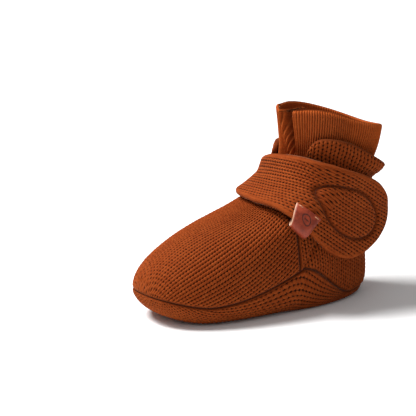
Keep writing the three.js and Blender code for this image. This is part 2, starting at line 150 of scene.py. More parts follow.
def section(z):
    """Front, widest place, back, half width and front squareness of the section at height z."""
    rise = z / ANKLE_HEIGHT
    front = mix(TOE_Y, ANKLE_FRONT_Y, through(SECTIONS, 1, rise))
    mid = mix(TOE_Y, HEEL_Y, through(SECTIONS, 2, rise))
    back = HEEL_Y + through(SECTIONS, 3, rise)
    half = mix(HALF_WIDTH, ANKLE_HALF, through(SECTIONS, 4, rise))
    return front, mid, back, half, through(SECTIONS, 5, rise)


def edge_inset(angle, z):
    """Quarter circle that draws the section in below the height of the sole's rounded edge, less so
    at the heel."""
    low = np.clip(z, 0, EDGE_RADIUS)
    heel = ease(1.95, 2.6, np.abs(half_turn(angle)))
    return (EDGE_RADIUS - np.sqrt(low * (2 * EDGE_RADIUS - low))) * mix(1, 0.5, heel)


def outline(angle, z, standoff=0.0):
    """Superellipse |c/reach|^p + |s/half|^p = 1 in polar form about the widest place; c and s are
    the cosine and sine of the direction from the toe."""
    front, mid, back, half, power = section(z)
    inset = edge_inset(angle, z)
    c, s = np.cos(angle), np.sin(angle)
    reach = np.where(c > 0, mid - front, back + standoff - mid) - inset
    power = np.where(c > 0, power, BACK_POWER)
    radius = (np.abs(c / reach) ** power + np.abs(s / (half - inset)) ** power) ** (-1 / power)
    return np.stack(np.broadcast_arrays(radius * s, mid - radius * c, z + 0 * radius), -1)


def normal_at(angle, z, standoff=0.0):
    """Cross product of a small step round the section and a small step up in the root of the height."""
    root = np.sqrt(np.maximum(z, 0))
    high, low = (root + 1e-3) ** 2, np.maximum(root - 1e-3, 0) ** 2
    up = outline(angle, high, standoff) - outline(angle, low, standoff)
    around = outline(angle + 1e-3, z, standoff) - outline(angle - 1e-3, z, standoff)
    normal = np.cross(around, up)
    return normal / np.linalg.norm(normal, axis=-1, keepdims=True)


def turned_up(points):
    """The toe's underside raised by a smooth rise towards its tip, which fades out with height."""
    lift = 6.0 * ease(-34, -66, points[..., 1]) ** 1.3 * ease(34, 0, points[..., 2])
    return points + np.stack([0 * lift, 0 * lift, lift], -1)


def surface(angle, z, out=0.0, standoff=0.0):
    """The outline moved out along its normal, with the toe's underside turned up a little."""
    angle, z, out = np.broadcast_arrays(np.asarray(angle, float), z, out)
    return turned_up(outline(angle, z, standoff) + normal_at(angle, z, standoff) * out[..., None])


def angle_at_y(y, z, standoff=0.0):
    """Direction of the point of the section at height z that lies at y on the +X side."""
    front, mid, back, half, power = section(z)
    reach = np.where(y < mid, mid - front, back + standoff - mid)
    power = np.where(y < mid, power, BACK_POWER)
    share = np.minimum(np.abs(y - mid) / reach, 1)
    return np.arctan2(half * (1 - share**power) ** (1 / power), mid - y)


def sole_seam(angle):
    """Height of the seam round the sole: low at the toe and heel, highest at the peak."""
    y = outline(angle, np.full(np.shape(angle), EDGE_RADIUS))[..., 1]
    ahead = np.clip(1 - (PEAK_Y - y) / (0.7 * (PEAK_Y - TOE_Y)), 0, 1)
    behind = np.clip((y - PEAK_Y) / (0.7 * (HEEL_Y - PEAK_Y)), 0, 1)
    return np.where(
        y < PEAK_Y,
        mix(SEAM_TOE, SEAM_PEAK, ahead**1.8),
        mix(SEAM_HEEL, SEAM_PEAK, np.cos(behind * math.pi / 2) ** 2),
    )


def side_seam(z):
    """Direction of the upright seam: over the peak, then leaning to the front of the ankle."""
    straight = angle_at_y(PEAK_Y, np.clip(z, SEAM_FOOT, 0.75 * ANKLE_HEIGHT))
    lean = mix(straight, SEAM_FRONT, ease(0.6 * ANKLE_HEIGHT, 0.95 * ANKLE_HEIGHT, z))
    return lean - math.radians(8) * ease(61, 70, z)


def seam_share(angle, z, half=0.5):
    """A seam's half width as a change of direction."""
    point = outline(angle, z)
    return half / np.hypot(point[..., 0], point[..., 1] - section(z)[1])


# ---- Meshes -------------------------------------------------------------------------------------


def grid_faces(rows, columns, start=0, closed=False, flip=False, ring=False):
    """Quads of a grid of points numbered row by row; closed joins the last column to the first, and
    ring the last row to the first."""
    index = start + np.arange(rows * columns).reshape(rows, columns)
    if closed:
        index = np.concatenate([index, index[:, :1]], 1)
    if ring:
        index = np.concatenate([index, index[:1]], 0)
    quads = np.stack([index[:-1, :-1], index[:-1, 1:], index[1:, 1:], index[1:, :-1]], -1)
    quads = quads.reshape(-1, 4)
    return quads[:, ::-1] if flip else quads


def capped(rows, columns):
    """Quads of a stack of closed rows, with a polygon over each end."""
    first, last = list(range(columns)), list(range((rows - 1) * columns, rows * columns))
    return grid_faces(rows, columns, 0, True).tolist() + [first[::-1], last]


def placed(name, data):
    """A new object in the scene."""
    piece = bpy.data.objects.new(name, data)
    bpy.context.scene.collection.objects.link(piece)
    return piece


def make(name, points, faces, material, uv=None, **marks):
    """A mesh object from points in millimetres and polygons, turned so that its closed volume is
    positive. uv holds stitch coordinates, and each further argument is a value for each point, kept
    as an attribute of that name."""
    mesh = bpy.data.meshes.new(name)
    mesh.from_pydata((points * MM).tolist(), [], faces)
    mesh.validate()
    mesh.calc_loop_triangles()
    triangles = np.empty(len(mesh.loop_triangles) * 3, np.int32)
    mesh.loop_triangles.foreach_get("vertices", triangles)
    a, b, c = points[triangles.reshape(-1, 3)].transpose(1, 0, 2)
    if (a * np.cross(b, c)).sum() < 0:
        mesh.flip_normals()
    if uv is not None:
        corner = np.empty(len(mesh.loops), np.int32)
        mesh.loops.foreach_get("vertex_index", corner)
        layer_data = mesh.uv_layers.new(name="stitch").data
        layer_data.foreach_set("uv", uv[corner].astype(np.float32).ravel())
    for label, values in marks.items():
        attribute = mesh.attributes.new(label, "FLOAT", "POINT")
        attribute.data.foreach_set("value", values.astype(np.float32).ravel())
    mesh.polygons.foreach_set("use_smooth", np.ones(len(mesh.polygons), bool))
    mesh.materials.append(material)
    mesh.update()
    return placed(name, mesh)


def shell(name, outer, inner, material, uv, loft, sunk=None, closed=False, coarse=1):
    """A closed cloth from an outer grid (rows x columns x 3) and an inner one with every coarse-th
    point, joined along the open edges by one polygon for each inner step. loft is the share of
    stitch relief, and the mark after it the share of painted shade in seams, folds and grooves,
    for each outer point."""
    rows, columns = outer.shape[:2]
    inner_rows, inner_columns = inner.shape[:2]
    start = rows * columns
    front = np.arange(start).reshape(rows, columns)
    back = start + np.arange(inner_rows * inner_columns).reshape(inner_rows, inner_columns)
    faces = grid_faces(rows, columns, 0, closed).tolist()
    faces += grid_faces(inner_rows, inner_columns, start, closed, flip=True).tolist()

    def join(fine, wide, flip):
        """Polygons between a row of fine points and a row with every coarse-th of them."""
        if closed and len(fine) == columns:
            fine, wide = np.append(fine, fine[0]), np.append(wide, wide[0])
        steps = len(wide) - 1
        along = fine[np.arange(steps)[:, None] * coarse + np.arange(coarse + 1)]
        ring = np.concatenate([along, wide[1:, None], wide[:-1, None]], 1)
        return (ring[:, ::-1] if flip else ring).tolist()

    faces += join(front[0], back[0], True) + join(front[-1], back[-1], False)
    if not closed:
        faces += join(front[:, 0], back[:, 0], False) + join(front[:, -1], back[:, -1], True)
    points = np.concatenate([outer.reshape(-1, 3), inner.reshape(-1, 3)])
    uvs = np.concatenate([uv.reshape(-1, 2), uv[::coarse, ::coarse].reshape(-1, 2)])

    def both(mark):
        """A mark for the outer points, and half as much for the inner ones."""
        return np.concatenate([mark.ravel(), 0.5 * mark[::coarse, ::coarse].ravel()])

    # no painted shade unless a mark for it is given
    sunk = 0 * loft if sunk is None else sunk
    return make(name, points, faces, material, uvs, loft=both(loft), sunk=both(sunk))


def tube(name, centre, side, radius, material, round_points=10, twist=0.0, closed=False):
    """A cord: a circle of points about each point of a centre line, in the plane of its side vector
    and the vector square to that and to the line; a two-ply twist makes the circle an egg that turns
    along the line. Its ends are closed by polygons."""
    along = np.gradient(centre, axis=0)
    if closed:
        along = np.roll(centre, -1, 0) - np.roll(centre, 1, 0)
    along /= np.linalg.norm(along, axis=1, keepdims=True)
    side = side - along * (side * along).sum(1, keepdims=True)
    side /= np.linalg.norm(side, axis=1, keepdims=True)
    other = np.cross(along, side)
    run = np.concatenate([[0], np.cumsum(np.linalg.norm(np.diff(centre, axis=0), axis=1))])
    turn = turns_of(round_points)
    size = radius * (1 + 0.16 * np.cos(2 * (turn[None, :] - twist * run[:, None])) * (twist > 0))
    ring = side[:, None] * np.cos(turn)[None, :, None] + other[:, None] * np.sin(turn)[None, :, None]
    points = centre[:, None] + ring * size[..., None]
    size = len(centre), round_points
    faces = grid_faces(*size, closed=True, ring=True).tolist() if closed else capped(*size)
    return make(name, points.reshape(-1, 3), faces, material)


# ---- Knit ---------------------------------------------------------------------------------------

WALE = 3.3  # two legs of a stitch
COURSE = 2.0
LEG = WALE / 2
LEAN = 0.7  # courses that a leg climbs from the middle of its stitch to the gap between wales
LEG_WIDE, LEG_LONG = 2.15, 1.8
LEG_SHIFT = 0.015  # how far a leg sits towards the middle of its stitch, so that the wales stand apart
YARN = 1.75


def knit(p, q):
    """Height, about 0 to 1, of stockinette at p across the wales and q along them: one dome for each
    leg, sheared so that the two legs of a stitch climb outward as a V."""
    legs = p / LEG
    column = np.floor(legs)
    outward = (2 * (column % 2) - 1) * (legs - column - 0.5)
    shifted = q / COURSE + outward * LEAN
    y = shifted - np.floor(shifted) - 0.5
    far = (LEG_WIDE * (outward + LEG_SHIFT)) ** 2 + (LEG_LONG * y) ** 2
    return np.sqrt(np.clip(YARN - far, 0, None)) / math.sqrt(YARN)


def arc_along(grid, axis):
    """Running length of a grid's lines along one axis, in millimetres, from 0."""
    step = np.linalg.norm(np.diff(grid, axis=axis), axis=-1)
    pad = [(0, 0), (0, 0)]
    pad[axis] = (1, 0)
    return np.cumsum(np.pad(step, pad), axis=axis)


def cut_size(points, closed=False):
    """Takes a cloth's points and, for a closed cloth, joins its first column on at the end; it keeps
    and returns nothing."""
    if closed:
        points = np.concatenate([points, points[:, :1]], 1)


def rim(distance, radius, drop):
    """How far a cloth's face falls near its edge: a quarter circle of the given radius, drop deep."""
    t = np.clip(1 - distance / radius, 0, 1)
    return -drop * (1 - np.sqrt(np.clip(1 - t * t, 0, 1)))


def waves(a, b, seed):
    """Slow uneven swell, about -1 to 1, from five sines of two coordinates."""
    rng = np.random.RandomState(seed)
    total = 0
    for turn in range(5):
        fa, fb = rng.uniform(0.6, 1.6, 2) * (1 + 0.5 * turn)
        total = total + np.sin(a * fa + b * fb + rng.uniform(0, 6.28)) / (1 + 0.6 * turn)
    return total / 2.2


# ---- Materials ----------------------------------------------------------------------------------


def group(name, inputs, outputs):
    """An empty shader group; returns it with its input and output nodes. An input is (name, value),
    where a number makes a float and None a vector. Every output is a float."""
    tree = bpy.data.node_groups.new(name, "ShaderNodeTree")
    for label, value in inputs:
        kind = "NodeSocketVector" if value is None else "NodeSocketFloat"
        socket = tree.interface.new_socket(label, in_out="INPUT", socket_type=kind)
        if value is not None:
            socket.default_value = value
    for label in outputs:
        tree.interface.new_socket(label, in_out="OUTPUT", socket_type="NodeSocketFloat")
    return tree, tree.nodes.new("NodeGroupInput"), tree.nodes.new("NodeGroupOutput")


class Wiring:
    """Short ways to add nodes to one tree: every argument is a socket or a number."""

    def __init__(self, tree):
        self.tree = tree

    def put(self, kind, *values, **settings):
        """Adds a node, sets its settings and feeds its inputs in order."""
        node = self.tree.nodes.new(kind)
        for key, value in settings.items():
            setattr(node, key, value)
        for slot, value in enumerate(values):
            self.feed(node.inputs[slot], value)
        return node

    def feed(self, socket, value):
        """Links a socket to an input, or sets a plain value on it."""
        if isinstance(value, bpy.types.NodeSocket):
            self.tree.links.new(value, socket)
        elif value is not None:
            socket.default_value = value

    def maths(self, operation, *values):
        """A maths node's result."""
        return self.put("ShaderNodeMath", *values, operation=operation).outputs[0]

    def times(self, a, b):
        """a times b."""
        return self.maths("MULTIPLY", a, b)

    def plus(self, a, b):
        """a plus b."""
        return self.maths("ADD", a, b)

    def minus(self, a, b):
        """a minus b."""
        return self.maths("SUBTRACT", a, b)

    def place(self):
        """Object coordinates."""
        return self.put("ShaderNodeTexCoord").outputs["Object"]

    def mark(self, label):
        """A point attribute's value."""
        return self.put("ShaderNodeAttribute", attribute_name=label).outputs["Fac"]

    def noise(self, vector, scale, detail=3.0, rough=0.55):
        """Noise, 0 to 1, over a vector."""
        node = self.put("ShaderNodeTexNoise")
        self.feed(node.inputs["Vector"], vector)
        self.feed(node.inputs["Scale"], scale)
        self.feed(node.inputs["Detail"], detail)
        self.feed(node.inputs["Roughness"], rough)
        return node.outputs["Fac"]

    def blend(self, share, a, b):
        """Colour a mixed with colour b by share."""
        node = self.put("ShaderNodeMix", data_type="RGBA")
        self.feed(node.inputs["Factor"], share)
        self.feed(node.inputs["A"], a)
        self.feed(node.inputs["B"], b)
        return node.outputs["Result"]

    def remap(self, value, low, high, to_low=0.0, to_high=1.0):
        """Smooth step of value from low..high to to_low..to_high."""
        node = self.put(
            "ShaderNodeMapRange", value, low, high, to_low, to_high, interpolation_type="SMOOTHSTEP"
        )
        return node.outputs[0]

    def bump(self, shader, strength, distance, height):
        """Feeds the shader's normal from a height, distance metres deep."""
        node = self.put("ShaderNodeBump")
        self.feed(node.inputs["Strength"], strength)
        self.feed(node.inputs["Distance"], distance)
        self.feed(node.inputs["Height"], height)
        self.feed(shader.inputs["Normal"], node.outputs[0])

    def own_tone(self, column, row):
        """A steady random number, 0 to 1, for the stitch at a column and row."""
        cell = self.put("ShaderNodeCombineXYZ", column, row, 0.0).outputs[0]
        return self.put("ShaderNodeTexWhiteNoise", cell, noise_dimensions="3D").outputs["Value"]


def stitch_group():
    """Stitches from stitch coordinates (U in wales, V in courses), by the same formula as knit:
    Height of the yarn, a mask of painted shade in the gaps round each leg, and Tone."""
    tree, source, sink = group("stitches", [("Coordinates", None)], ["Height", "HoleShade", "Tone"])
    w = Wiring(tree)
    parts = w.put("ShaderNodeSeparateXYZ", source.outputs["Coordinates"]).outputs
    legs = w.times(parts[0], 2.0)
    column = w.maths("FLOOR", legs)
    x = w.minus(w.minus(legs, column), 0.5)
    odd = w.maths("FLOORED_MODULO", column, 2.0)
    sign = w.minus(w.times(odd, 2.0), 1.0)
    outward = w.times(sign, x)
    shifted = w.plus(parts[1], w.times(outward, LEAN))
    row = w.maths("FLOOR", shifted)
    y = w.minus(w.minus(shifted, row), 0.5)
    wide = w.times(w.plus(outward, LEG_SHIFT), LEG_WIDE)
    long = w.times(y, LEG_LONG)
    far = w.plus(w.times(wide, wide), w.times(long, long))
    height = w.maths("SQRT", w.maths("MAXIMUM", w.minus(YARN, far), 0.0))
    # painted shade mask: 1 in the gaps round each leg, where the knit material mixes in its dark colour
    hole_shade = w.remap(far, 0.65, 1.4)
    w.feed(sink.inputs["Height"], height)
    w.feed(sink.inputs["HoleShade"], hole_shade)
    w.feed(sink.inputs["Tone"], w.own_tone(column, row))
    return tree


def fuzz_group():
    """Brushed fibres from object coordinates: Height of fine fibres, and Patch, a slow unevenness
    of tone."""
    tree, source, sink = group("fuzz", [("Fineness", 1.0)], ["Height", "Patch"])
    w = Wiring(tree)
    place = w.place()
    fine = w.noise(place, w.times(source.outputs["Fineness"], 2600.0), 4.0, 0.7)
    hairs = w.noise(place, w.times(source.outputs["Fineness"], 900.0), 2.0, 0.6)
    fine, hairs = w.times(fine, 0.6), w.times(hairs, 0.4)
    w.feed(sink.inputs["Height"], w.plus(fine, hairs))
    w.feed(sink.inputs["Patch"], w.noise(place, 55.0, 3.0))
    return tree


def rib_group():
    """Fine one by one rib from stitch coordinates (U in ribs, V in courses): Height of the ridges,
    a mask of painted shade in the grooves between them, and Tone."""
    tree, source, sink = group("ribs", [("Coordinates", None)], ["Height", "HoleShade", "Tone"])
    w = Wiring(tree)
    parts = w.put("ShaderNodeSeparateXYZ", source.outputs["Coordinates"]).outputs
    rib = w.maths("FLOOR", parts[0])
    x = w.minus(w.minus(parts[0], rib), 0.5)
    slanted = w.plus(parts[1], w.times(w.maths("ABSOLUTE", x), 1.2))
    row = w.maths("FLOOR", slanted)
    y = w.minus(w.minus(slanted, row), 0.5)
    ridge = w.maths("COSINE", w.times(x, 2 * math.pi))
    notch = w.times(w.times(y, y), 0.9)
    w.feed(sink.inputs["Height"], w.minus(w.times(ridge, 0.5), notch))
    # painted shade mask: high in the grooves between the ribs
    hollow = w.plus(w.times(ridge, -1.0), notch)
    w.feed(sink.inputs["HoleShade"], w.remap(hollow, 0.1, 1.1))
    w.feed(sink.inputs["Tone"], w.own_tone(rib, row))
    return tree


STITCHES = stitch_group()
RIBS = rib_group()
FUZZ = fuzz_group()


def base(name, roughness, sheen=0.0, tint=(1, 1, 1, 1), specular=0.3):
    """A material with its Principled shader, whose plain values sit on its own sockets."""
    material = bpy.data.materials.new(name)
    material.use_nodes = True
    shader = material.node_tree.nodes["Principled BSDF"]
    shader.inputs["Roughness"].default_value = roughness
    shader.inputs["Sheen Weight"].default_value = sheen
    shader.inputs["Sheen Roughness"].default_value = 0.45
    shader.inputs["Sheen Tint"].default_value = tint
    shader.inputs["Specular IOR Level"].default_value = specular
    return material, Wiring(material.node_tree), shader


def knitted(name, light, dark, pattern, hole_shade, bump_depth):
    """Knit: yarn colour with a slow unevenness and a tone of its own for each stitch, a dark colour
    as painted shade between the stitches and in seams, folds and grooves, with stitch and fibre bumps."""
    material, w, shader = base(name, 0.92, 0.12, (0.95, 0.45, 0.2, 1), 0.06)
    fuzz = w.put("ShaderNodeGroup", node_tree=FUZZ)
    loft = w.mark("loft")
    uv = w.put("ShaderNodeUVMap", uv_map="stitch").outputs[0]
    stitches = w.put("ShaderNodeGroup", node_tree=pattern)
    w.feed(stitches.inputs["Coordinates"], uv)
    # painted shade: the dark colour is mixed in by the stitch gaps' mask, scaled by loft, and by the
    # point mark for seams, folds and grooves
    sunk = w.mark("sunk")
    shade = w.times(w.times(stitches.outputs["HoleShade"], loft), hole_shade)
    shade = w.maths("MAXIMUM", shade, w.times(sunk, 0.7))
    slow = w.times(w.minus(fuzz.outputs["Patch"], 0.5), 0.6)
    own = w.times(w.minus(stitches.outputs["Tone"], 0.5), 0.35)
    fibre = w.times(w.minus(fuzz.outputs["Height"], 0.5), 0.9)
    tone = w.plus(w.plus(slow, own), w.plus(fibre, 0.5))
    w.feed(shader.inputs["Base Color"], w.blend(shade, w.blend(tone, light[0], light[1]), dark))
    yarn = w.times(stitches.outputs["Height"], loft)
    fluff = w.times(fuzz.outputs["Height"], 0.35)
    w.bump(shader, bump_depth, 0.0005, w.plus(yarn, fluff))
    return material


def rgb(r, g, b):
    """Linear colour from sRGB bytes: v / 12.92 up to 0.04, and ((v + 0.055) / 1.055)^2.4 above."""
    channels = [v / 255 / 12.92 if v <= 10 else ((v / 255 + 0.055) / 1.055) ** 2.4 for v in (r, g, b)]
    return (*channels, 1.0)


RUST = (rgb(116, 44, 11), rgb(149, 69, 26))
# painted shade colour, mixed into the knit's gaps, seams, folds and grooves
RUST_SHADE = rgb(30, 3, 0)
RIB_RUST = (rgb(150, 64, 22), rgb(180, 88, 36))
# painted shade colour of the rib, mixed into its grooves and the cuff's fold
RIB_SHADE = rgb(40, 5, 0)
KNIT_CLOTH = knitted("rust_knit", RUST, RUST_SHADE, STITCHES, 1.0, 0.6)
RIB_CLOTH = knitted("rust_rib", RIB_RUST, RIB_SHADE, RIBS, 0.6, 0.6)


def napped(name, light, dark, fineness):
    """Brushed cloth: tufts of two tones, with a soft fibre bump."""
    material, w, shader = base(name, 0.95, 0.35, (0.95, 0.6, 0.4, 1), 0.05)
    fuzz = w.put("ShaderNodeGroup", node_tree=FUZZ)
    fuzz.inputs["Fineness"].default_value = fineness
    tufts = w.times(fuzz.outputs["Height"], 0.7)
    patches = w.times(fuzz.outputs["Patch"], 0.3)
    tone = w.remap(w.plus(tufts, patches), 0.3, 0.7)
    w.feed(shader.inputs["Base Color"], w.blend(tone, dark, light))
    w.bump(shader, 0.8, 0.0006, fuzz.outputs["Height"])
    return material


def leather(name, face, deep, worn):
    """Smooth leather: mottled face, darker in the pressed lines, paler where the grain is worn, with
    a fine grain bump."""
    material, w, shader = base(name, 0.42, 0.0, (1, 1, 1, 1), 0.3)
    place = w.place()
    grain = w.noise(place, 1900.0, 5.0, 0.65)
    mottle = w.noise(place, 260.0, 3.0)
    pressed = w.mark("loft")
    colour = w.blend(w.remap(mottle, 0.35, 0.65), face, deep)
    colour = w.blend(w.remap(grain, 0.5, 0.75, 0.0, 0.35), colour, worn)
    w.feed(shader.inputs["Base Color"], w.blend(pressed, colour, rgb(58, 26, 20)))
    w.feed(shader.inputs["Roughness"], w.remap(grain, 0.2, 0.8, 0.3, 0.55))
    w.bump(shader, 0.35, 0.0002, grain)
    return material


def threadlike(name, light, dark):
    """Sewing thread: two tones along its fibres."""
    material, w, shader = base(name, 0.7, 0.1, (1, 0.7, 0.5, 1), 0.2)
    place = w.place()
    w.feed(shader.inputs["Base Color"], w.blend(w.noise(place, 1500.0, 2.0), dark, light))
    w.bump(shader, 0.5, 0.0002, w.noise(place, 3000.0, 2.0))
    return material


FACING_CLOTH = napped("rust_facing", rgb(138, 66, 32), rgb(96, 40, 16), 0.8)
FLEECE = napped("brushed_lining", rgb(150, 82, 48), rgb(98, 44, 20), 0.45)
FOAM = napped("pad_foam", rgb(226, 220, 206), rgb(198, 190, 172), 0.7)
LOOP_TAPE = napped("loop_tape", rgb(98, 46, 22), rgb(48, 18, 8), 1.2)
HOOK_TAPE = napped("hook_tape", rgb(70, 32, 14), rgb(30, 10, 4), 1.6)
TAG_LEATHER = leather("tag_leather", rgb(150, 58, 33), rgb(116, 40, 21), rgb(168, 84, 56))
RAW_LEATHER = leather("raw_leather", rgb(214, 168, 140), rgb(188, 136, 108), rgb(230, 196, 170))
SEAM_THREAD = threadlike("seam_thread", rgb(96, 40, 18), rgb(58, 18, 6))
TAG_THREAD = threadlike("tag_thread", rgb(216, 158, 122), rgb(170, 108, 74))

# ---- Body of the boot ---------------------------------------------------------------------------

RELIEF = 1.05  # height of a stitch, from the gaps to the crown
SEAM_DEEP, SEAM_ROUND = 1.1, 1.9  # how far a panel's face falls at a seam, and how far from it
INNER_STEP = 4  # the smooth inner face has every fourth point


def knit_shell(name, place, us, vs, coordinates, edges, loft=1.0, closed=False):
    """A panel of knit. place(u, v, out) gives its points; coordinates(points, u, v) the distances
    across and along the wales; edges(points) the distance of each point from a seam, where the cloth
    rolls in. The outer face is lifted by the stitches, by a share of loft, and the inner face is
    smooth."""
    u, v = np.meshgrid(us, vs)
    flat = place(u, v, 0 * u)
    p, q = coordinates(flat, u, v)
    near = edges(flat)
    share = loft * ease(0.0, 1.2, near)
    outer = place(u, v, (knit(p, q) - 1) * RELIEF * share + rim(near, SEAM_ROUND, SEAM_DEEP))
    cut_size(flat, closed)
    inner_u, inner_v = u[::INNER_STEP, ::INNER_STEP], v[::INNER_STEP, ::INNER_STEP]
    inner = place(inner_u, inner_v, 0 * inner_u - PANEL_WALL)
    uv = np.stack([p / WALE, q / COURSE], -1)
    # painted shade along the seams, where the cloth rolls in
    sunk = ease(1.1, 0.0, near) * 0.75
    return shell(name, outer, inner, KNIT_CLOTH, uv, share, sunk, closed, INNER_STEP)


def vamp_place(u, v, out):
    """Between the upright seams and from the sole seam up to the ankle."""
    spread_u = 2 * u - 1
    low = sole_seam(spread_u * side_seam(SEAM_FOOT)) + 0.25
    z = mix(low, VAMP_TOP, v)
    seam = side_seam(z)
    return surface(spread_u * (seam - seam_share(seam, z, 0.4)), z, out)


def vamp_wales(points, u, v):
    """Wales that fan out from the ankle over the toes: polar coordinates in the side plane about a
    point above the toes, and the angle round a spine that runs under the instep."""
    dy, dz = points[..., 1] + 62, 135 - points[..., 2]
    turn = np.arctan2(dy, dz)
    under = 138 - 10 * turn / math.radians(46.9) - np.hypot(dy, dz)
    return 30 * np.arctan2(points[..., 0], under) + 40 * WALE, 126 * turn + 0.02 * points[..., 0] ** 2


def vamp_edges(points):
    """Distance from the sole seam and the upright seams."""
    rows, columns = arc_along(points, 0), arc_along(points, 1)
    return np.minimum(rows, np.minimum(columns, columns[:, -1:] - columns))


us, vs = np.linspace(0, 1, 345), np.linspace(0, 1, 265)
vamp = knit_shell("vamp", vamp_place, us, vs, vamp_wales, vamp_edges)


def quarter_place(hand, top):
    """One side of the heel: from the upright seam back to the heel seam and from the sole seam up to
    the collar's edge, which stands open. The outer side has a shallow crease by the heel."""

    def place(u, v, out):
        foot = mix(side_seam(SEAM_FOOT), math.pi, u)
        low = sole_seam(foot) + 0.25
        edge = mix(VAMP_TOP, top, through(COLLAR, 1, np.degrees(mix(SEAM_FRONT, math.pi, u))))
        z = mix(low, edge, v)
        seam = side_seam(z)
        heel = math.pi - seam_share(np.full_like(z, math.pi), z, 0.35)
        angle = mix(seam + seam_share(seam, z, 0.4), heel, u)
        flare = 9.6 * ease(56, 70, z) * ease(1.4, 2.5, angle)
        flare = flare + (hand - 0.2) * 1.2 * ease(64, 74, z) * ease(1.3, 0.8, angle)
        tuck = -1.5 * bell(np.degrees(angle), 125, 2.6) * ease(50, 40, z) * (hand > 0)
        curl = -1.8 * ease(5, 0, edge - z) * ease(1.2, 1.9, angle)
        return surface(hand * angle, z, out + flare + tuck + curl)

    return place


def quarter_wales(points, u, v):
    """Upright wales, evenly spread between the seams, and courses by height."""
    run = arc_along(points, 1)
    return run / run[:, -1:] * 19 * WALE, points[..., 2] * 1.02 + 0.03 * run


def sole_edges(points):
    """Distance from a panel's top edge."""
    rows = arc_along(points, 0)
    return rows[-1:] - rows


def quarter_edges(points):
    """Distance from the sole seam, the upright seams and the collar's edge."""
    return np.minimum(vamp_edges(points), sole_edges(points))


OUTER_TOP, INNER_TOP = 80.0, 71.5  # the collar's highest points on its two sides
us, vs = np.linspace(0, 1, 209), np.linspace(0, 1, 201)
quarter_outer, quarter_inner = (
    knit_shell(name, quarter_place(hand, top), us, vs, quarter_wales, quarter_edges)
    for name, hand, top in [
        ("quarter_outer_cloth", 1, OUTER_TOP),
        ("quarter_inner_cloth", -1, INNER_TOP),
    ]
)


def sole_place(u, v, out):
    """A flat bottom from the middle out to the rim, then up round the edge to the seam."""
    angle = u * 2 * math.pi
    rim_point = outline(angle, 0 * angle) - (0, 0, 1) * out[..., None]
    share = np.clip(v / 0.5, 0, 1)
    centre = np.stack([0 * u, 0 * u + SOLE_MIDDLE_Y, rim_point[..., 2]], -1)
    bottom = turned_up(centre + (rim_point - centre) * share[..., None])
    climb = 1 + np.sin((np.clip((v - 0.5) / 0.5, 0, 1) - 1) * math.pi / 2)
    wall = surface(angle, climb * (sole_seam(angle) - 0.25), out)
    return np.where((v < 0.5)[..., None], bottom, wall)


def sole_wales(points, u, v):
    """The sole's cloth laid flat: below, its own x and y; on the wall, carried on outward by the
    climb, so that the wales follow the seam."""
    angle = u * 2 * math.pi
    rim_point = outline(angle, 0 * u)
    outward = normal_at(angle, 0 * u + EDGE_RADIUS)
    climb = np.clip((v - 0.5) / 0.5, 0, 1) * 17
    laid = np.where((v < 0.5)[..., None], points, rim_point + outward * climb[..., None])
    return laid[..., 0] + 40 * WALE, laid[..., 1] + 60 * COURSE


us = np.linspace(0, 1, 640, endpoint=False)
vs = np.concatenate([np.linspace(0.0002, 0.5, 65), np.linspace(0.5, 1, 61)[1:]])
worn = mix(0.35, 1, ease(0.45, 0.62, vs))[:, None]  # the stitches are flatter underneath
sole = knit_shell("sole_cloth", sole_place, us, vs, sole_wales, sole_edges, worn, closed=True)

# ---- Inside of the boot -------------------------------------------------------------------------


def lining():
    """Brushed lining just inside the panels, from the footbed up to the foot of the cuff."""
    us, vs = np.linspace(0, 1, 120, endpoint=False), np.linspace(0, 1, 60)
    u, v = np.meshgrid(us, vs)
    z = mix(7.5, 60.0, v)
    soft = 0.25 * waves(u * 60, z * 0.9, 4)
    outer = surface(u * 2 * math.pi, z, -3.5 + 0 * u)
    cut_size(outer, True)
    inner = surface(u * 2 * math.pi, z, -5.2 + soft)
    uv = np.stack([u, v], -1)
    return shell("lining_cloth", outer, inner, FLEECE, uv, 0 * u, closed=True)


def layer(name, low, high, inset, material, crown, seed):
    """A flat pad inside the sole: its rim follows the section drawn in by inset, its top is crowned
    and its edge is round."""
    turn = turns_of(160)
    rim_point = surface(turn, np.full_like(turn, EDGE_RADIUS), -inset + 0 * turn)
    middle, half = (low + high) / 2, (high - low) / 2
    flat = np.linspace(0.001, 0.96, 30)
    rounded = np.linspace(-math.pi / 2, math.pi / 2, 9)
    rings = [(share, low, 0.0) for share in flat]
    rings += [(1.0, middle + half * math.sin(t), half * (math.cos(t) - 1)) for t in rounded]
    rings += [(share, high, 0.0) for share in flat[::-1]]
    table = np.array(rings)
    centre = np.array([0.0, -4.0, 0.0])
    offset = (rim_point - centre) * (1, 1, 0)
    length = np.linalg.norm(offset, axis=1)
    scale = table[:, :1] * (1 + table[:, 2:] / length[None])
    points = centre + offset[None] * scale[..., None]
    share = table[:, None, 0] + 0 * points[..., 0]
    top = (np.arange(len(table)) >= len(flat) + len(rounded))[:, None]
    soft = waves(points[..., 0] * 0.16, points[..., 1] * 0.16, seed) * crown * (1 - share**6)
    points[..., 2] = table[:, None, 1] + np.where(top, soft, 0)
    return make(name, turned_up(points).reshape(-1, 3), capped(*share.shape), material)


lining_cloth = lining()
pad = layer("insole_foam", 2.95, 6.35, 4.2, FOAM, 0.05, 7)
footbed = layer("footbed_cloth", 6.75, 8.2, 4.9, FLEECE, 0.12, 8)

# ---- Rib cuff -----------------------------------------------------------------------------------

RIBS_AROUND = 124


